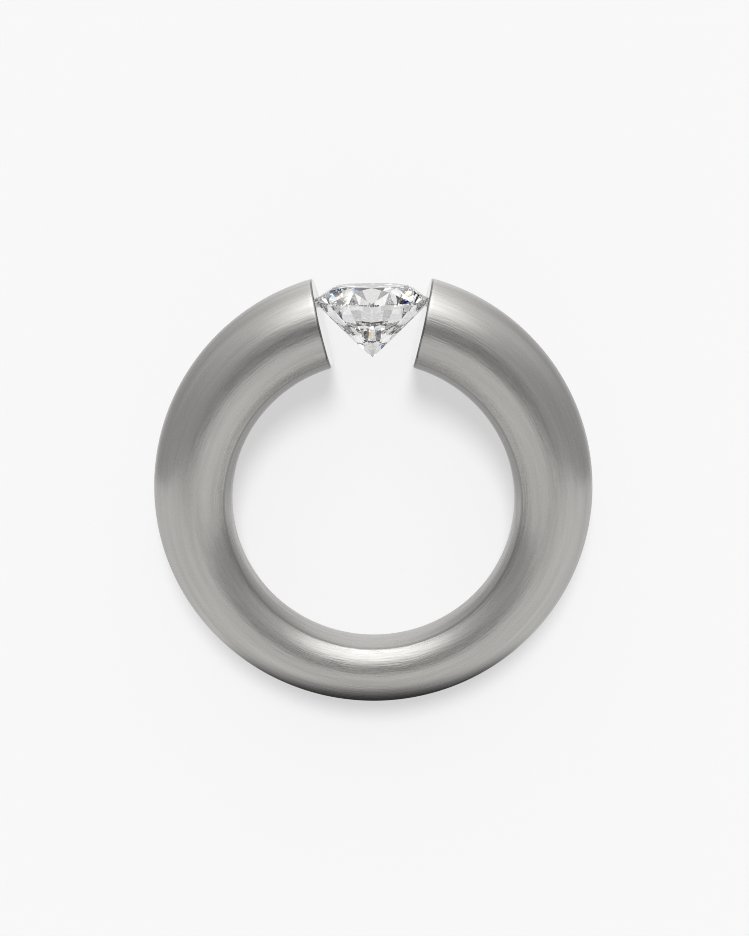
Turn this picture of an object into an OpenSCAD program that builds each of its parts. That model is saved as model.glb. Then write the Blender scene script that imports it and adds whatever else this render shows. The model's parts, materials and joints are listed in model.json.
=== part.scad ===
// Tension set ring: an open round band whose two ends clamp a brilliant cut stone by its edge.
// Millimetres. The centre of the finger hole is at the origin and +Y points at the stone. The
// ring lies on its side, so the table that it rests on is below it in Z.

/* [Finger hole] */
// Diameter of the finger hole where it is narrowest
finger_d = 17.2; // [15:0.1:20]
// Length of the straight stretch in the middle of the finger hole
land_len = 0.4; // [0.3:0.05:0.8]
// Radius of the comfort edge that opens the hole on each side of the straight stretch
comfort_r = 4.4; // [4:0.1:5.2]

/* [Band] */
// Radial thickness beside the stone
top_thick = 5.42; // [4.9:0.02:6]
// Radial thickness opposite the stone
bottom_thick = 3.9; // [3.4:0.05:4.8]
// Width along the finger beside the stone
top_width = 7; // [6.4:0.1:7.8]
// Width along the finger opposite the stone
bottom_width = 4.6; // [4:0.1:5.4]
// Depth of the round section that the finger hole cuts away beside the stone
top_trim = 0.15; // [0.1:0.01:0.3]
// Depth of the round section that the finger hole cuts away opposite the stone
bottom_trim = 0.3; // [0.2:0.01:0.5]
// Angle between each end face and the middle plane of the ring, in degrees
end_slope = 12.7; // [6:0.1:18]

/* [Stone] */
// Diameter of the stone at its girdle
stone_d = 6.8; // [6:0.05:7.4]
// Width of the table from corner to corner
table_d = 4.3; // [3.6:0.05:4.8]
// Height of the crown, from the girdle to the table
crown_h = 0.83; // [0.6:0.01:1]
// Height of the girdle at the corners of the facets
girdle_h = 0.18; // [0.16:0.01:0.26]
// Depth of the pavilion, from the girdle to the culet
pavilion_h = 3.29; // [2.7:0.01:3.6]

/* [Setting] */
// Height of the culet above the narrowest line of the finger hole
culet_clear = 0.22; // [0.1:0.01:0.6]
// Depth that the girdle reaches into each end face
girdle_bite = 0.15; // [0.1:0.01:0.25]
// Clearance between the girdle and its groove
groove_clear = 0.03; // [0.02:0.01:0.06]
// Angle by which each wall of the groove opens away from the stone, in degrees
groove_flare = 5; // [3:1:12]

/* [Hidden] */
$fn = 96;

// The band's blank is swept through this many sections, each with this many points
sections = 96;
section_points = 40;
// Length that a cut runs past the surface that it opens
past = 1;

// The brilliant cut repeats itself every eighth of a turn
turn = 45;
// Where a star facet ends, as a share of the way from the table's edge to the girdle
star_share = 0.5;
// Where a lower half facet ends, as a share of the way from the girdle to the culet
lower_half_share = 0.78;

finger_r = finger_d / 2;

// A size of the band that runs from one value beside the stone to one opposite it
function tapered(beside, opposite, share) = opposite + (beside - opposite) * share;
// How near the angle t from the stone is to the stone's side of the ring: 1 is beside it
function nearness(t) = (1 + cos(t)) / 2;
function trim(t) = tapered(top_trim, bottom_trim, nearness(t));
// Half the radial height of the blank's section, which starts inside the finger hole
function half_height(t) = (tapered(top_thick, bottom_thick, nearness(t)) + trim(t)) / 2;
// Radius of the middle of the section, from the finger axis
function mid_r(t) = finger_r - trim(t) + half_height(t);
// Distance across the ring between the middles of its thickest and thinnest sections
mid_span = mid_r(0) + mid_r(180);
// The width tapers evenly along Y, so each side of the ring touches a flat table all the way round
function half_width(t) = tapered(top_width, bottom_width, (mid_r(t) * cos(t) + mid_r(180)) / mid_span) / 2;
// Angle between the middle plane of the ring and the table that one side rests on
lean = atan((top_width - bottom_width) / 2 / mid_span);

// Sizes of the stone, with Z along its axis and its girdle halved by Z = 0
stone_r = stone_d / 2;
table_r = table_d / 2;
rim_z = girdle_h / 2;
table_z = rim_z + crown_h;
culet_z = -rim_z - pavilion_h;
// Middle of the table's edge, between two corners
edge_r = table_r * cos(turn / 2);
// Outer tip of each star facet, where two kites meet
star_r = edge_r + star_share * (stone_r - edge_r);
star_z = rim_z + crown_h * (stone_r - star_r * cos(turn / 2)) / (stone_r - table_r);
// Lower tip of each lower half facet, where two pavilion mains meet
lower_r = stone_r * (1 - lower_half_share);
lower_z = -rim_z - pavilion_h * (1 - lower_r * cos(turn / 2) / stone_r);

// Height of the middle of the girdle above the finger axis
girdle_y = finger_r + culet_clear - culet_z;
// Half the width of the gap between the end faces at the height y
function half_gap(y) = stone_r - girdle_bite + (y - girdle_y) * tan(end_slope);

module laid_on_its_side() {
    rotate([lean, 0, 0]) children();
}

// Turns a shape that is made about +Z to the stone's axis
module at_stone() {
    translate([0, girdle_y, 0]) rotate([-90, 0, 0]) children();
}

// The closed ring before it is cut: an oval section swept round the finger
module blank() {
    points = [
        for (i = [0 : sections - 1], j = [0 : section_points - 1])
            let (
                t = 360 * i / sections,
                u = 360 * j / section_points,
                r = mid_r(t) + half_height(t) * cos(u)
            )
            [r * sin(t), r * cos(t), half_width(t) * sin(u)]
    ];
    function corner(i, j) = (i % sections) * section_points + j % section_points;
    faces = [
        for (i = [0 : sections - 1], j = [0 : section_points - 1], half = [0, 1])
            half == 0
                ? [corner(i, j), corner(i + 1, j), corner(i + 1, j + 1)]
                : [corner(i, j), corner(i + 1, j + 1), corner(i, j + 1)]
    ];
    polyhedron(points, faces, convexity = 6);
}

// The space for the finger: straight in the middle and opening on both sides
module finger_space() {
    reach = land_len / 2 + 0.9 * comfort_r;
    centre_r = finger_r + comfort_r;
    rotate_extrude()
        difference() {
            translate([0, -reach]) square([centre_r, 2 * reach]);
            translate([finger_r, -land_len / 2]) square([comfort_r + past, land_len]);
            for (side = [-1, 1])
                translate([centre_r, side * land_len / 2]) circle(r = comfort_r);
        }
}

// The gap between the two end faces
module gap() {
    low = finger_r / 2;
    high = finger_r + top_thick + past;
    linear_extrude(height = top_width + 2 * past, center = true)
        polygon([
            [-half_gap(low), low], [half_gap(low), low],
            [half_gap(high), high], [-half_gap(high), high]
        ]);
}

// The groove that holds the girdle, with walls a little flatter than the stone
module girdle_groove() {
    outer = stone_r + groove_clear;
    inner = stone_r - girdle_bite - past;
    half = rim_z + groove_clear;
    crown_slope = atan((star_z - rim_z) / (stone_r - star_r));
    pavilion_slope = atan((-rim_z - lower_z) / (stone_r - lower_r));
    rise = (outer - inner) * tan(crown_slope + groove_flare);
    drop = (outer - inner) * tan(pavilion_slope + groove_flare);
    at_stone()
        rotate_extrude()
            polygon([[inner, -half - drop], [outer, -half], [outer, half], [inner, half + rise]]);
}

module band() {
    color([0.66, 0.66, 0.65])
        laid_on_its_side()
            difference() {
                blank();
                finger_space();
                gap();
                girdle_groove();
            }
}

// A point at the radius r, the azimuth a and the height z, about the stone's axis
function at_azimuth(r, a, z) = [r * cos(a), r * sin(a), z];

// Fills all the space beyond the plane through three points, on the side away from the
// middle of the stone
module beyond(p, q, s) {
    size = 2 * stone_d;
    normal = cross(q - p, s - p);
    out = normal * sign(normal * p) / norm(normal);
    along = (q - p) / norm(q - p);
    up = cross(out, along);
    multmatrix([
        [along.x, up.x, out.x, p.x],
        [along.y, up.y, out.y, p.y],
        [along.z, up.z, out.z, p.z],
        [0, 0, 0, 1]
    ])
        translate([-size / 2, -size / 2, 0]) cube(size);
}

// The facets of one eighth of the stone, as the cuts that leave them
module facets(a) {
    corner = at_azimuth(table_r, a, table_z);
    rim = at_azimuth(stone_r, a, rim_z);
    low_rim = at_azimuth(stone_r, a, -rim_z);
    level = at_azimuth(1, a + 90, 0);
    // Kite
    beyond(rim, rim + level, corner);
    // Pavilion main
    beyond(low_rim, low_rim + level, [0, 0, culet_z]);
    // Star
    beyond(corner, at_azimuth(table_r, a + turn, table_z), at_azimuth(star_r, a + turn / 2, star_z));
    // Upper and lower halves on both sides of the kite
    for (middle = [a - turn / 2, a + turn / 2]) {
        beyond(rim, at_azimuth(stone_r, middle, rim_z), at_azimuth(star_r, middle, star_z));
        beyond(low_rim, at_azimuth(stone_r, middle, -rim_z), at_azimuth(lower_r, middle, lower_z));
    }
}

module stone() {
    color([0.86, 0.9, 0.95])
        laid_on_its_side()
            at_stone()
                difference() {
                    translate([0, 0, culet_z]) cylinder(r = stone_r, h = table_z - culet_z);
                    for (a = [0 : turn : 360 - turn]) facets(a);
                }
}

band();
stone();
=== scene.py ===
"""Looks of the tension set ring: a satin band, a brilliant cut stone, a pale floor and soft light."""

import json
import math

import bmesh
import bpy
import numpy as np
from mathutils import Matrix, Vector


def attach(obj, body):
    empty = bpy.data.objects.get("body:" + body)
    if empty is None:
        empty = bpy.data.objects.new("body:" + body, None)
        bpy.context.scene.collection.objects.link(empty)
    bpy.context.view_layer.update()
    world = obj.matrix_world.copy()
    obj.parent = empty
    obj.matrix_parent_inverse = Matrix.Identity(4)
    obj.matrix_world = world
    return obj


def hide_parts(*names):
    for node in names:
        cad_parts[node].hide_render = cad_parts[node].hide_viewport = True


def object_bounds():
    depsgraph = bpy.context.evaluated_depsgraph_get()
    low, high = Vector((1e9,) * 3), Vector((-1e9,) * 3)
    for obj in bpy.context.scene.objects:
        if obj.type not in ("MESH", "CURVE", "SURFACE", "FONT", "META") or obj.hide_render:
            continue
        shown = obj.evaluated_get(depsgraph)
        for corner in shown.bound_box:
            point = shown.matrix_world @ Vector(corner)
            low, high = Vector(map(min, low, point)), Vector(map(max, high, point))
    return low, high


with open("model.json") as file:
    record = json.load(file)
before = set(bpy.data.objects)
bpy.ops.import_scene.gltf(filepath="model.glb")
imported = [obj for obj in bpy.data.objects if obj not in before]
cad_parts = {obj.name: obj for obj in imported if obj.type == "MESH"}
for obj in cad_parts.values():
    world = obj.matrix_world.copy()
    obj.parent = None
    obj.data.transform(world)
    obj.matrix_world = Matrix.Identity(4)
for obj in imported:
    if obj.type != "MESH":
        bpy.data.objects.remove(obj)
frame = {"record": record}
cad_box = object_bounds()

MM = 0.001

# Driving sizes of the ring, in millimetres
FINGER_R = frame["record"]["mounts"][0]["dims"]["r_mm"]
LAND_LEN = 0.4
COMFORT_R = 4.4
TOP_THICK, BOTTOM_THICK = 5.42, 3.9
TOP_WIDTH, BOTTOM_WIDTH = 7.0, 4.6
TOP_TRIM, BOTTOM_TRIM = 0.15, 0.3
END_SLOPE = math.radians(12.7)
STONE_D = 6.8
TABLE_D = 4.3
CROWN_H = 0.83
GIRDLE_H = 0.18
PAVILION_H = 3.29
CULET_CLEAR = 0.22
GIRDLE_BITE = 0.15
GROOVE_CLEAR = 0.03
GROOVE_FLARE = math.radians(5)
# Where a star facet ends on its way from the table to the girdle, and a lower half facet on its
# way from the girdle to the culet
STAR_SHARE = 0.5
LOWER_HALF_SHARE = 0.78

# The edges that polishing has broken: along the finger hole and round each end face
CREASE_ROUND = 0.12
END_ROUND = 0.11

# Sizes of the stone that follow from them, with Z along its axis
STONE_R = STONE_D / 2
TABLE_R = TABLE_D / 2
RIM_Z = GIRDLE_H / 2
TABLE_Z = RIM_Z + CROWN_H
CULET_Z = -RIM_Z - PAVILION_H
GIRDLE_Y = FINGER_R + CULET_CLEAR - CULET_Z
EIGHTH = math.radians(45)
EDGE_R = TABLE_R * math.cos(EIGHTH / 2)
STAR_R = EDGE_R + STAR_SHARE * (STONE_R - EDGE_R)
STAR_Z = RIM_Z + CROWN_H * (STONE_R - STAR_R * math.cos(EIGHTH / 2)) / (STONE_R - TABLE_R)
LOWER_R = STONE_R * (1 - LOWER_HALF_SHARE)
LOWER_Z = -RIM_Z - PAVILION_H * (1 - LOWER_R * math.cos(EIGHTH / 2) / STONE_R)


def tapered(beside, opposite, share):
    """A size of the band that runs from one value beside the stone to one opposite it."""
    return opposite + (beside - opposite) * share


def nearness(t):
    """How near the angle t from the stone is to the stone's side of the ring: 1 is beside it."""
    return (1 + np.cos(t)) / 2


def trim(t):
    """Depth of the oval section that the finger hole cuts away."""
    return tapered(TOP_TRIM, BOTTOM_TRIM, nearness(t))


def half_height(t):
    """Half the radial height of the oval section."""
    return (tapered(TOP_THICK, BOTTOM_THICK, nearness(t)) + trim(t)) / 2


def mid_r(t):
    """Radius of the middle of the section, from the finger axis."""
    return FINGER_R - trim(t) + half_height(t)


MID_SPAN = mid_r(0) + mid_r(math.pi)
LEAN = math.atan((TOP_WIDTH - BOTTOM_WIDTH) / 2 / MID_SPAN)
# From a ring whose middle plane is level to one that lies on its side, and from there to metres
LAID = Matrix.Rotation(LEAN, 4, "X")
LAID_METRES = LAID @ Matrix.Scale(MM, 4)
# From the stone's own place, with its axis along Z, to its seat between the end faces
SEATED = Matrix.Translation((0, GIRDLE_Y, 0)) @ Matrix.Rotation(-math.pi / 2, 4, "X")


def half_width(t):
    """Half the band's width along the finger, which tapers evenly along Y."""
    share = (mid_r(t) * np.cos(t) + mid_r(math.pi)) / MID_SPAN
    return tapered(TOP_WIDTH, BOTTOM_WIDTH, share) / 2


def comfort(z):
    """Radius of the finger hole at the distance z from the middle plane."""
    past_land = np.maximum(np.abs(z) - LAND_LEN / 2, 0)
    return FINGER_R + COMFORT_R - np.sqrt(COMFORT_R**2 - past_land**2)


def oval(t, u):
    """Radius and height of the band's oval section at the angle u round it."""
    return mid_r(t) + half_height(t) * np.cos(u), half_width(t) * np.sin(u)


BISECTIONS = 50


def bisected(low, high, is_past):
    """The values between low and high, one for each element, from which on is_past holds."""
    for _ in range(BISECTIONS):
        middle = (low + high) / 2
        past = is_past(middle)
        high = np.where(past, middle, high)
        low = np.where(past, low, middle)
    return (low + high) / 2


def crease_angle(t):
    """Angle round the oval at which it meets the comfort edge."""

    def in_finger_hole(u):
        r, z = oval(t, u)
        return r <= comfort(z)

    return bisected(np.full_like(t, math.pi / 2), np.full_like(t, math.pi), in_finger_hole)


# Points round the section: over the oval, across the finger hole and on each of the two creases
OUTER_POINTS = 121
INNER_POINTS = 41
CREASE_POINTS = 3
SECTION_POINTS = OUTER_POINTS + INNER_POINTS + 2 * CREASE_POINTS
# How far the crease's rounding reaches down the finger hole, as a share of its reach over the oval
CREASE_DROP = 0.85


def section(t):
    """Radius and height of the points round the section at each angle in t: one row for each point."""
    u_crease = crease_angle(t)
    crease = oval(t, u_crease)
    arc = np.hypot(half_height(t) * np.sin(u_crease), half_width(t) * np.cos(u_crease))
    u_round = u_crease - CREASE_ROUND / arc
    z_round = crease[1] - CREASE_ROUND * CREASE_DROP
    rows = [oval(t, u_round * share) for share in np.linspace(-1, 1, OUTER_POINTS)]
    # The rounding is a quadratic curve, with the crease for its middle handle
    start = rows[-1]
    end = (comfort(z_round), z_round)
    rounding = []
    for k in range(1, CREASE_POINTS + 1):
        w = k / (CREASE_POINTS + 1)
        rounding.append(tuple(
            (1 - w) ** 2 * a + 2 * w * (1 - w) * b + w**2 * c
            for a, b, c in zip(start, crease, end)
        ))
    rows += rounding
    for share in np.linspace(1, -1, INNER_POINTS):
        rows.append((comfort(z_round * share), z_round * share))
    rows += [(r, -z) for r, z in reversed(rounding)]
    return np.array([r for r, _ in rows]), np.array([z for _, z in rows])


def place(t):
    """Where each point of the section lies when point j is at the angle t[j]."""
    r, z = section(t)
    j = np.arange(SECTION_POINTS)
    return np.stack([r[j, j] * np.sin(t), r[j, j] * np.cos(t), z[j, j]], axis=-1)


def half_gap(y):
    """Half the width of the gap between the end faces at the height y."""
    return STONE_R - GIRDLE_BITE + (y - GIRDLE_Y) * math.tan(END_SLOPE)


# Between these angles from the stone lies the whole end face
END_FROM, END_TO = math.radians(4), math.radians(45)


def end_angles(depth):
    """The angle at which each line along the band meets a plane that lies depth inside the end face."""

    def in_metal(t):
        p = place(t)
        return p[:, 0] > half_gap(p[:, 1]) + depth / math.cos(END_SLOPE)

    return bisected(np.full(SECTION_POINTS, END_FROM), np.full(SECTION_POINTS, END_TO), in_metal)


END_NORMAL = np.array([math.cos(END_SLOPE), -math.sin(END_SLOPE), 0])


def inset(ring, amount):
    """Moves a closed outline that lies in an end plane inwards, within that plane."""
    along = np.roll(ring, -1, axis=0) - np.roll(ring, 1, axis=0)
    inward = np.cross(along, END_NORMAL)
    inward /= np.linalg.norm(inward, axis=1, keepdims=True)
    centre = ring.mean(axis=0)
    inward *= np.sign(np.sum(inward * (centre - ring), axis=1).sum())
    return ring + inward * amount


# Outlines along the band between its two ends, and strips that round each end face's edge
STATIONS = 300
ROUND_STEPS = 5
# Width of the flat strip inside the rounded edge, which keeps the end face's shading flat
FLAT_STRIP = 0.04


def band_rings():
    """The outlines from one end face to the other."""
    ends = [inset(place(end_angles(0)), END_ROUND + FLAT_STRIP)]
    for k in range(ROUND_STEPS, -1, -1):
        turn = math.pi / 2 * k / ROUND_STEPS
        ring = place(end_angles(END_ROUND * (1 - math.sin(turn))))
        ends.append(inset(ring, END_ROUND * (1 - math.cos(turn))))
    start = end_angles(END_ROUND)
    rings = list(ends)
    for k in range(1, STATIONS):
        rings.append(place(start + (2 * math.pi - 2 * start) * k / STATIONS))
    mirror = np.array([-1, 1, 1])
    rings += [ring * mirror for ring in reversed(ends)]
    return rings


def new_object(name, data):
    obj = bpy.data.objects.new(name, data)
    bpy.context.scene.collection.objects.link(obj)
    return obj


GROOVE_STEPS = 360
# Length that the groove's tool runs past the end face
PAST = 1


def groove_tool():
    """The groove that the girdle sits in, as a solid turned about the stone's axis."""
    outer = STONE_R + GROOVE_CLEAR
    inner = STONE_R - GIRDLE_BITE - PAST
    half = RIM_Z + GROOVE_CLEAR
    crown_slope = math.atan((STAR_Z - RIM_Z) / (STONE_R - STAR_R))
    pavilion_slope = math.atan((-RIM_Z - LOWER_Z) / (STONE_R - LOWER_R))
    rise = (outer - inner) * math.tan(crown_slope + GROOVE_FLARE)
    drop = (outer - inner) * math.tan(pavilion_slope + GROOVE_FLARE)
    profile = [(inner, -half - drop), (outer, -half), (outer, half), (inner, half + rise)]
    bm = bmesh.new()
    rings = []
    for i in range(GROOVE_STEPS):
        a = 2 * math.pi * i / GROOVE_STEPS
        rings.append([bm.verts.new((r * math.cos(a), r * math.sin(a), h)) for r, h in profile])
    for i in range(GROOVE_STEPS):
        here, there = rings[i], rings[(i + 1) % GROOVE_STEPS]
        for k in range(len(profile)):
            n = (k + 1) % len(profile)
            bm.faces.new((here[k], there[k], there[n], here[n]))
    bmesh.ops.recalc_face_normals(bm, faces=bm.faces)
    mesh = bpy.data.meshes.new("groove_tool")
    bm.to_mesh(mesh)
    bm.free()
    mesh.transform(SEATED)
    return new_object("groove_tool", mesh)


# The band's material slots, in order; those of the finger hole, its crease and the end faces' rounded
# edges are painted darker, as painted shade
SATIN, BORE_PAINTED_SHADE, CREASE_PAINTED_SHADE, POLISHED, EDGE_PAINTED_SHADE = range(5)


def finish_or_painted_shade_of(from_end, j):
    """The slot of the face at j round the section, in the strip from_end from the nearer end."""
    if from_end == 0:
        return POLISHED
    if from_end <= ROUND_STEPS:
        return EDGE_PAINTED_SHADE
    from_crease = min(j - (OUTER_POINTS - 1), SECTION_POINTS - 1 - j)
    if from_crease > CREASE_POINTS:
        return BORE_PAINTED_SHADE
    return CREASE_PAINTED_SHADE if from_crease >= 0 else SATIN


def band_faces(rings):
    """The strips between neighbouring outlines and the two end faces, and the slot of each face."""
    last = len(rings) - 1
    faces = []
    slots = []
    for i in range(last):
        a = i * SECTION_POINTS
        b = a + SECTION_POINTS
        for j in range(SECTION_POINTS):
            n = (j + 1) % SECTION_POINTS
            faces.append((a + j, b + j, b + n, a + n))
            slots.append(finish_or_painted_shade_of(min(i, last - 1 - i), j))
    faces.append(tuple(range(SECTION_POINTS)))
    faces.append(tuple(last * SECTION_POINTS + j for j in reversed(range(SECTION_POINTS))))
    return faces, slots + [POLISHED, POLISHED]


def grain_coords(rings):
    """For each corner of each face, millimetres round the finger and round the section."""
    middle = rings[len(rings) // 2]
    lengths = np.linalg.norm(np.roll(middle, -1, axis=0) - middle, axis=1)
    v = np.concatenate([[0], np.cumsum(lengths)])
    angles = np.array([np.arctan2(ring[:, 0], ring[:, 1]) % (2 * math.pi) for ring in rings])
    u = np.unwrap(angles, axis=0) * MID_SPAN / 2
    coords = []
    for i in range(len(rings) - 1):
        for j in range(SECTION_POINTS):
            n = (j + 1) % SECTION_POINTS
            coords += [(u[i, j], v[j]), (u[i + 1, j], v[j])]
            coords += [(u[i + 1, n], v[j + 1]), (u[i, n], v[j + 1])]
    for ring in (rings[0], rings[-1][::-1]):
        coords += [(p[2], p[1]) for p in ring]
    return np.array(coords, dtype=np.float32)


def cut_groove(band, polished):
    """Cuts the groove for the girdle into both end faces of the band's mesh."""
    tool = groove_tool()
    tool.data.materials.append(polished)
    cut = band.modifiers.new("groove", "BOOLEAN")
    cut.object = tool
    cut.operation = "DIFFERENCE"
    cut.solver = "EXACT"
    cut.material_mode = "TRANSFER"
    depsgraph = bpy.context.evaluated_depsgraph_get()
    done = bpy.data.meshes.new_from_object(band.evaluated_get(depsgraph))
    band.modifiers.clear()
    band.data = done
    bpy.data.objects.remove(tool)


# Faces that meet at more than this angle meet in a sharp edge
SHARP_ANGLE = math.radians(28)


def make_band(satin, bore_painted_shade, crease, polished, edge):
    """Joins the outlines to the band, with a material for each of its finishes and for the painted
    shade on its finger hole, crease and rounded end edges.
    """
    rings = band_rings()
    faces, slots = band_faces(rings)
    mesh = bpy.data.meshes.new("satin_band")
    mesh.from_pydata(np.concatenate(rings).tolist(), [], faces)
    for material in (satin, bore_painted_shade, crease, polished, edge):
        mesh.materials.append(material)
    mesh.polygons.foreach_set("material_index", slots)
    uv = mesh.uv_layers.new(name="grain")
    uv.data.foreach_set("uv", grain_coords(rings).ravel())
    mesh.polygons.foreach_set("use_smooth", [True] * len(mesh.polygons))

    bm = bmesh.new()
    bm.from_mesh(mesh)
    bmesh.ops.recalc_face_normals(bm, faces=bm.faces)
    bm.to_mesh(mesh)
    bm.free()

    band = new_object("satin_band", mesh)
    cut_groove(band, polished)
    band.data.set_sharp_from_angle(angle=SHARP_ANGLE)
    band.data.transform(LAID_METRES)
    return band


def about_stone(r, a, z):
    return Vector((r * math.cos(a), r * math.sin(a), z))


def facet_planes():
    """Three points on the plane of each facet but the table."""
    planes = []
    for k in range(8):
        a = k * EIGHTH
        corner = about_stone(TABLE_R, a, TABLE_Z)
        next_corner = about_stone(TABLE_R, a + EIGHTH, TABLE_Z)
        high = about_stone(STONE_R, a, RIM_Z)
        low = about_stone(STONE_R, a, -RIM_Z)
        level = about_stone(1, a + math.pi / 2, 0)
        # Kite, pavilion main and star
        planes.append((high, high + level, corner))
        planes.append((low, low + level, Vector((0, 0, CULET_Z))))
        planes.append((corner, next_corner, about_stone(STAR_R, a + EIGHTH / 2, STAR_Z)))
        # Upper and lower halves on both sides of the kite
        for middle in (a - EIGHTH / 2, a + EIGHTH / 2):
            star = about_stone(STAR_R, middle, STAR_Z)
            lower = about_stone(LOWER_R, middle, LOWER_Z)
            planes.append((high, about_stone(STONE_R, middle, RIM_Z), star))
            planes.append((low, about_stone(STONE_R, middle, -RIM_Z), lower))
    return planes


BLANK_SIDES = 240
# A point nearer to a facet's plane than this lies on it
ON_PLANE = 1e-6


def make_stone(clear):
    """Cuts the facets from a round blank, one plane for each, as a cutter does."""
    bm = bmesh.new()
    bmesh.ops.create_cone(
        bm, cap_ends=True, segments=BLANK_SIDES,
        radius1=STONE_R, radius2=STONE_R, depth=TABLE_Z - CULET_Z,
    )
    bmesh.ops.translate(bm, verts=bm.verts, vec=(0, 0, (TABLE_Z + CULET_Z) / 2))
    for p, q, s in facet_planes():
        out = (q - p).cross(s - p).normalized()
        if out.dot(p) < 0:
            out = -out
        everything = bm.verts[:] + bm.edges[:] + bm.faces[:]
        cut = bmesh.ops.bisect_plane(
            bm, geom=everything, dist=ON_PLANE, plane_co=p, plane_no=out, clear_outer=True
        )
        edges = [e for e in cut["geom_cut"] if isinstance(e, bmesh.types.BMEdge) and e.is_boundary]
        if edges:
            bmesh.ops.edgeloop_fill(bm, edges=edges)
    bmesh.ops.recalc_face_normals(bm, faces=bm.faces)
    for face in bm.faces:
        face.smooth = False
    mesh = bpy.data.meshes.new("cut_stone")
    bm.to_mesh(mesh)
    bm.free()
    mesh.materials.append(clear)
    mesh.transform(LAID_METRES @ SEATED)
    return new_object("cut_stone", mesh)


def add_node(tree, kind, inputs=None, **settings):
    """Adds a node with its settings, and gives each input a value or a link from a socket."""
    node = tree.nodes.new("ShaderNode" + kind)
    for name, value in settings.items():
        setattr(node, name, value)
    for key, value in (inputs or {}).items():
        if isinstance(value, bpy.types.NodeSocket):
            tree.links.new(value, node.inputs[key])
        else:
            node.inputs[key].default_value = value
    return node


def map_range(tree, value, source, target, smooth=False):
    """Maps a value's range, the source, to the target's range."""
    node = add_node(tree, "MapRange", {
        "Value": value,
        "From Min": source[0],
        "From Max": source[1],
        "To Min": target[0],
        "To Max": target[1],
    }, interpolation_type="SMOOTHSTEP" if smooth else "LINEAR")
    return node.outputs["Result"]


def math_node(tree, operation, a, b, **settings):
    return add_node(tree, "Math", {0: a, 1: b}, operation=operation, **settings).outputs["Value"]


def grey(shade):
    return (shade, shade, shade, 1)


def bare_tree(owner):
    """The empty node tree of a new material or world."""
    owner.use_nodes = True
    owner.node_tree.nodes.clear()
    return owner.node_tree


def new_material(name):
    material = bpy.data.materials.new(name)
    return material, bare_tree(material)


def add_surface(tree, kind, inputs):
    """Adds a material's shader and its output."""
    shader = add_node(tree, kind, inputs)
    add_node(tree, "OutputMaterial", {"Surface": shader.outputs[0]})


def streaks(tree, across, along):
    """Noise drawn out round the finger, as brushing leaves it, with so many spots to a millimetre."""
    uv = add_node(tree, "UVMap", uv_map="grain")
    stretch = add_node(tree, "Mapping", {"Vector": uv.outputs["UV"], "Scale": (along, across, 1)})
    where = {"Vector": stretch.outputs["Vector"], "Scale": 1, "Detail": 3}
    return add_node(tree, "TexNoise", where, noise_dimensions="2D").outputs["Fac"]


# Nearly all of the noise's values lie in this range
NOISE = (0.3, 0.7)
# The satin's colour runs between these two
DARK_TINT = (0.57, 0.56, 0.54)
LIGHT_TINT = (0.66, 0.65, 0.63)
SATIN_ROUGHNESS = (0.25, 0.32)
BRUSH_DEPTH = 0.02 * MM


def satin_metal(name, shade):
    material, tree = new_material(name)
    fine = streaks(tree, across=10, along=0.7)
    broad = streaks(tree, across=2.2, along=0.08)
    tint = add_node(tree, "Mix", {
        "Factor": map_range(tree, broad, NOISE, (0, 1)),
        "A": (*(shade * channel for channel in DARK_TINT), 1),
        "B": (*(shade * channel for channel in LIGHT_TINT), 1),
    }, data_type="RGBA")
    tangent = add_node(tree, "Tangent", direction_type="UV_MAP", uv_map="grain")
    bump = add_node(tree, "Bump", {"Strength": 0.55, "Distance": BRUSH_DEPTH, "Height": fine})
    add_surface(tree, "BsdfPrincipled", {
        "Base Color": tint.outputs["Result"],
        "Metallic": 1,
        "Roughness": map_range(tree, fine, NOISE, SATIN_ROUGHNESS),
        "Anisotropic": 0.6,
        # A quarter turn, because the highlights spread across the brushing
        "Anisotropic Rotation": 0.25,
        "Tangent": tangent.outputs["Tangent"],
        "Normal": bump.outputs["Normal"],
    })
    return material


def plain_metal(name, roughness, shade):
    material, tree = new_material(name)
    add_surface(tree, "BsdfPrincipled", {
        "Base Color": grey(shade),
        "Metallic": 1,
        "Roughness": roughness,
    })
    return material


def clear_stone(name, refraction):
    material, tree = new_material(name)
    add_surface(tree, "BsdfGlass", {"IOR": refraction, "Roughness": 0})
    return material


# The camera, where the photograph's perspective puts it: millimetres from the finger hole's centre
# and angles from the finger axis
CAMERA_DISTANCE = 100.0
CAMERA_RISE = math.radians(11.68)
CAMERA_TURN = math.radians(0.59)
CAMERA_ROLL = math.radians(-0.33)
# Pixels along the picture's longer side, and in a millimetre at the finger hole's centre
FRAME_LONG = 936
PIXELS_PER_MM = 16.436
# The place in the picture of the finger hole's centre, in pixels from the picture's own centre
HOLE_RIGHT, HOLE_DOWN = -1.5, 33.9
SENSOR = 36
NEAREST_SEEN = 5 * MM


def right_and_up(back):
    """The other two axes of a level camera that looks away from back."""
    right = Vector((0, 1, 0)).cross(back).normalized()
    return right, back.cross(right)


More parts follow.
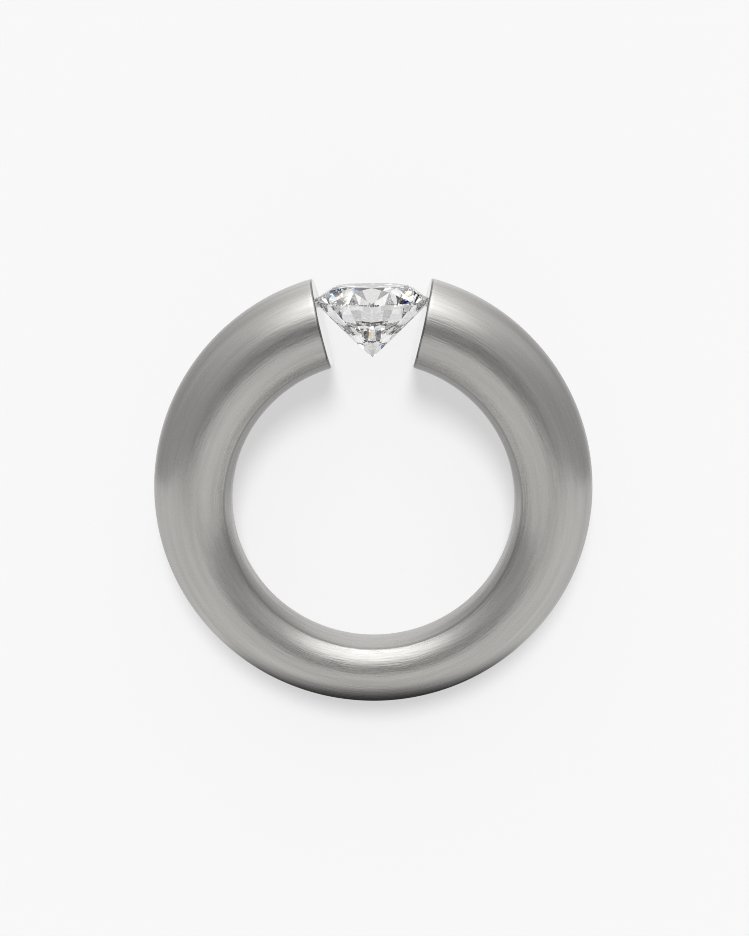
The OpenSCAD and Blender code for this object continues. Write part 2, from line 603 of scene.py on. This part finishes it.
def make_camera():
    """Stands where the photograph's camera stood, and aims so that the ring falls in its place."""
    back = Vector((
        math.sin(CAMERA_TURN) * math.cos(CAMERA_RISE),
        math.sin(CAMERA_RISE),
        math.cos(CAMERA_TURN) * math.cos(CAMERA_RISE),
    ))
    right, up = right_and_up(back)
    spot = back * CAMERA_DISTANCE
    aim = (-HOLE_RIGHT * right + HOLE_DOWN * up) / PIXELS_PER_MM
    back = (spot - aim).normalized()
    right, up = right_and_up(back)
    axes = Matrix((right, up, back)).transposed().to_4x4()
    data = bpy.data.cameras.new("camera")
    data.sensor_width = SENSOR
    data.lens = PIXELS_PER_MM * CAMERA_DISTANCE * SENSOR / FRAME_LONG
    data.clip_start = NEAREST_SEEN
    camera = new_object("camera", data)
    pose = Matrix.Translation(spot * MM) @ axes @ Matrix.Rotation(CAMERA_ROLL, 4, "Z")
    camera.matrix_world = LAID @ pose
    bpy.context.scene.camera = camera


# The corners of a square, in order round it
SQUARE = ((-1, -1), (1, -1), (1, 1), (-1, 1))


def make_sheet(name, corners, material):
    mesh = bpy.data.meshes.new(name)
    mesh.from_pydata(corners, [], [(0, 1, 2, 3)])
    mesh.materials.append(material)
    return new_object(name, mesh)


# Half the floor's side, in metres
FLOOR_HALF = 1.0
FLOOR_SHADE = 0.2
# The floor's own light, which keeps the ring's shadow on it pale
FLOOR_GLOW = 0.565


def make_floor():
    """A pale matt floor under the ring."""
    material, tree = new_material("pale_floor")
    add_surface(tree, "BsdfPrincipled", {
        "Base Color": grey(FLOOR_SHADE),
        "Roughness": 0.9,
        "Specular IOR Level": 0,
        "Emission Color": grey(1),
        "Emission Strength": FLOOR_GLOW,
    })
    z = cad_box[0][2]
    floor = make_sheet("floor", [(x * FLOOR_HALF, y * FLOOR_HALF, z) for x, y in SQUARE], material)
    # The ring mirrors the studio and not the bare floor
    floor.visible_glossy = False
    floor.visible_transmission = False


KEY_RISE = math.radians(62)
KEY_SPREAD = math.radians(19)
KEY_POWER = 4.6


def make_key():
    """A soft lamp on the stone's side, for the floor's light and the ring's shadow on it."""
    data = bpy.data.lights.new("key", "SUN")
    data.angle = KEY_SPREAD
    data.energy = KEY_POWER
    lamp = new_object("key", data)
    away = Vector((0, math.cos(KEY_RISE), math.sin(KEY_RISE)))
    lamp.rotation_euler = away.to_track_quat("Z", "Y").to_euler()
    lamp.visible_glossy = False
    lamp.visible_transmission = False


# The card's place below the ring's lower edge and half its sides, in millimetres
CARD_GAP = 0.2
CARD_HALF_X, CARD_HALF_Z = 100, 60


def patch(tree, spot, half_x, half_z, centre_z, fade, brightness):
    """Brightness inside and outside an oval on the card, which fades between two shares of its size."""
    squeezed = add_node(tree, "VectorMath", {
        0: spot,
        1: (1 / half_x, 0, 1 / half_z),
        2: (0, 0, -centre_z / half_z),
    }, operation="MULTIPLY_ADD")
    size = add_node(tree, "VectorMath", {0: squeezed.outputs["Vector"]}, operation="LENGTH")
    return map_range(tree, size.outputs["Value"], fade, brightness, smooth=True)


def make_card():
    """A glowing card below the ring, which the band alone mirrors, with shadows painted into its light.
    """
    material, tree = new_material("card")
    spot = add_node(tree, "TexCoord").outputs["Object"]
    # Painted shadow: the card's light is darkest under the ring's lower edge, where a floor would hold
    # the ring's contact shadow
    painted_contact_shadow = patch(
        tree, spot, half_x=15, half_z=7, centre_z=-2.1, fade=(0.42, 0.95), brightness=(0.02, 0.68)
    )
    # Painted shade: the card's light is dimmer far behind the ring, where a floor would lie in the
    # ring's shadow
    painted_shadow_behind = patch(
        tree, spot, half_x=34, half_z=28, centre_z=-32, fade=(0.5, 1), brightness=(0.72, 1)
    )
    add_surface(tree, "Emission", {"Strength": math_node(tree, "MULTIPLY", painted_contact_shadow, painted_shadow_behind)})
    card = make_sheet("card", [(x * CARD_HALF_X, 0, z * CARD_HALF_Z) for x, z in SQUARE], material)
    below = Matrix.Translation((0, -FINGER_R - BOTTOM_THICK - CARD_GAP, 0))
    card.matrix_world = LAID_METRES @ below
    card.visible_camera = False
    card.visible_diffuse = False
    card.visible_shadow = False
    card.visible_transmission = False


# What the metal mirrors: brightness of the studio against the sine of the height towards the
# stone's side
STUDIO = (
    (-1.0, 0.75), (-0.3, 0.42), (-0.1, 0.38), (0.17, 0.38), (0.34, 0.42), (0.5, 0.5), (0.64, 0.57),
    (0.77, 0.69), (0.87, 0.9), (0.94, 1.15), (1.0, 1.4),
)
# Its soft boxes and flags: height in degrees from the camera's side over the stone's side, half
# the angles where each begins and is whole, and its strength
STUDIO_LOBES = (
    (62, 42, 15, 0.85),
    (1, 36, 8, -0.17),
    (190, 45, 20, 0.52),
    (138, 34, 12, 0.26),
)
# The same for what is seen through the stone
TENT = (
    (-1.0, 0.12), (-0.6, 0.2), (-0.45, 0.85), (-0.25, 0.98), (-0.14, 1.1), (0.0, 0.9), (0.2, 0.8),
    (0.35, 0.6), (0.5, 0.5), (0.8, 0.6), (0.93, 0.72), (1.0, 1.3),
)
TENT_LOBES = (
    (5, 50, 22, -0.9),
    (192, 13, 7, -0.9),
)
# Where the tent's light is broken up, which gives the stone its bright and dark points: the share
# of it by height, how fine its cells are, the noise values between which a cell changes from dark
# to bright, and how bright both are
BROKEN = ((-1.0, 0.0), (0.36, 0.0), (0.42, 1.0), (0.84, 1.0), (0.9, 0.0), (1.0, 0.0))
BROKEN_LOBE = (151, 26, 16, -1)
CELLS = 22
CELL_EDGES = (0.46, 0.57)
CELL_BRIGHTNESS = (0.0, 1.4)
# How far red and blue are parted, which gives the stone its fire
FIRE = 0.0016
BACKDROP = 0.93


def towards(tree, where, direction):
    """Cosine of the angle between where a ray goes and a direction of the upright ring."""
    aim = (LAID.to_3x3() @ Vector(direction)).normalized()
    return add_node(tree, "VectorMath", {0: where, 1: aim}, operation="DOT_PRODUCT").outputs["Value"]


def by_height(tree, where, heights):
    """Brightness along a curve through the pairs of height and value."""
    curve = add_node(tree, "FloatCurve")
    points = curve.mapping.curves[0].points
    top = max(value for _, value in heights)
    spots = [((height + 1) / 2, value / top) for height, value in heights]
    points[0].location = spots[0]
    points[-1].location = spots[-1]
    for spot in spots[1:-1]:
        points.new(*spot)
    curve.mapping.update()
    share = map_range(tree, towards(tree, where, (0, 1, 0)), (-1, 1), (0, 1))
    tree.links.new(share, curve.inputs["Value"])
    return math_node(tree, "MULTIPLY", curve.outputs["Value"], top)


def lobe(tree, where, height, outer, inner, strength):
    """A soft round light, or with a negative strength a flag, about one height."""
    height = math.radians(height)
    near = towards(tree, where, (0, math.sin(height), math.cos(height)))
    edge = (math.cos(math.radians(outer)), math.cos(math.radians(inner)))
    return map_range(tree, near, edge, (0, strength), smooth=True)


def light_from(tree, where, heights, lobes):
    """Brightness of the surroundings where a ray goes."""
    total = by_height(tree, where, heights)
    for values in lobes:
        total = math_node(tree, "ADD", total, lobe(tree, where, *values))
    return total


def broken(tree, where, light):
    """The light with its broken part turned into bright and dark cells, and nowhere below zero."""
    noise = add_node(tree, "TexNoise", {"Vector": where, "Scale": CELLS, "Detail": 0})
    cells = map_range(tree, noise.outputs["Fac"], CELL_EDGES, CELL_BRIGHTNESS, smooth=True)
    share = math_node(
        tree, "ADD", by_height(tree, where, BROKEN), lobe(tree, where, *BROKEN_LOBE), use_clamp=True
    )
    mix = add_node(tree, "Mix", {"Factor": share, "A": light, "B": cells})
    return math_node(tree, "MAXIMUM", mix.outputs["Result"], 0)


def make_world():
    """Three surroundings: one for the metal, one for the stone and a plain one for the camera."""
    world = bpy.data.worlds.new("studio")
    bpy.context.scene.world = world
    tree = bare_tree(world)
    around = add_node(tree, "TexCoord").outputs["Generated"]
    studio = add_node(tree, "Background", {"Color": light_from(tree, around, STUDIO, STUDIO_LOBES)})
    channels = {}
    for channel, shift in (("Red", FIRE), ("Green", 0), ("Blue", -FIRE)):
        shifted = add_node(tree, "VectorMath", {0: around, 1: (shift, shift, 0)}, operation="ADD")
        where = shifted.outputs["Vector"]
        channels[channel] = broken(tree, where, light_from(tree, where, TENT, TENT_LOBES))
    colour = add_node(tree, "CombineColor", channels)
    tent = add_node(tree, "Background", {"Color": colour.outputs["Color"]})
    backdrop = add_node(tree, "Background", {"Color": grey(BACKDROP)})
    # Only the stone bends and mirrors light without any blur, so its rays are the singular ones
    path = add_node(tree, "LightPath").outputs
    seen = studio
    for share, other in (("Is Singular Ray", tent), ("Is Camera Ray", backdrop)):
        seen = add_node(tree, "MixShader", {
            "Fac": path[share],
            1: seen.outputs[0],
            2: other.outputs[0],
        })
    add_node(tree, "OutputWorld", {"Surface": seen.outputs["Shader"]})


# Light goes round many times in a brilliant before it is out again
BOUNCES = 32
# Width of the filter that blurs the picture's pixels into one another, in pixels
FILTER_WIDTH = 1.0


def set_render_options():
    scene = bpy.context.scene
    scene.view_settings.view_transform = "Standard"
    scene.cycles.max_bounces = BOUNCES
    scene.cycles.transmission_bounces = BOUNCES
    scene.cycles.glossy_bounces = BOUNCES
    scene.cycles.filter_width = FILTER_WIDTH


make_camera()
make_floor()
make_key()
make_card()
make_world()
set_render_options()

band = make_band(
    satin=satin_metal("satin_metal", shade=1),
    # Painted shade: the finger hole's satin is the outer satin painted darker
    bore_painted_shade=satin_metal("satin_bore_painted_shade", shade=0.86),
    # Painted shade: the crease's rounding is metal painted dark, a shadow line along the finger hole's
    # edge
    crease=plain_metal("crease", roughness=0.35, shade=0.43),
    polished=plain_metal("polished_end", roughness=0.06, shade=0.66),
    # Painted reflection: the rounded edges of the end faces are polished metal painted dark, as if they
    # mirrored something dark
    edge=plain_metal("end_edge_painted_shade", roughness=0.06, shade=0.26),
)
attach(band, "root")
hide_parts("band")

stone = make_stone(clear_stone("clear_stone", refraction=2.42))
# Without caustics the clear stone would throw a shadow as dark as a solid one's
stone.visible_shadow = False
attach(stone, "root")
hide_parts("stone")
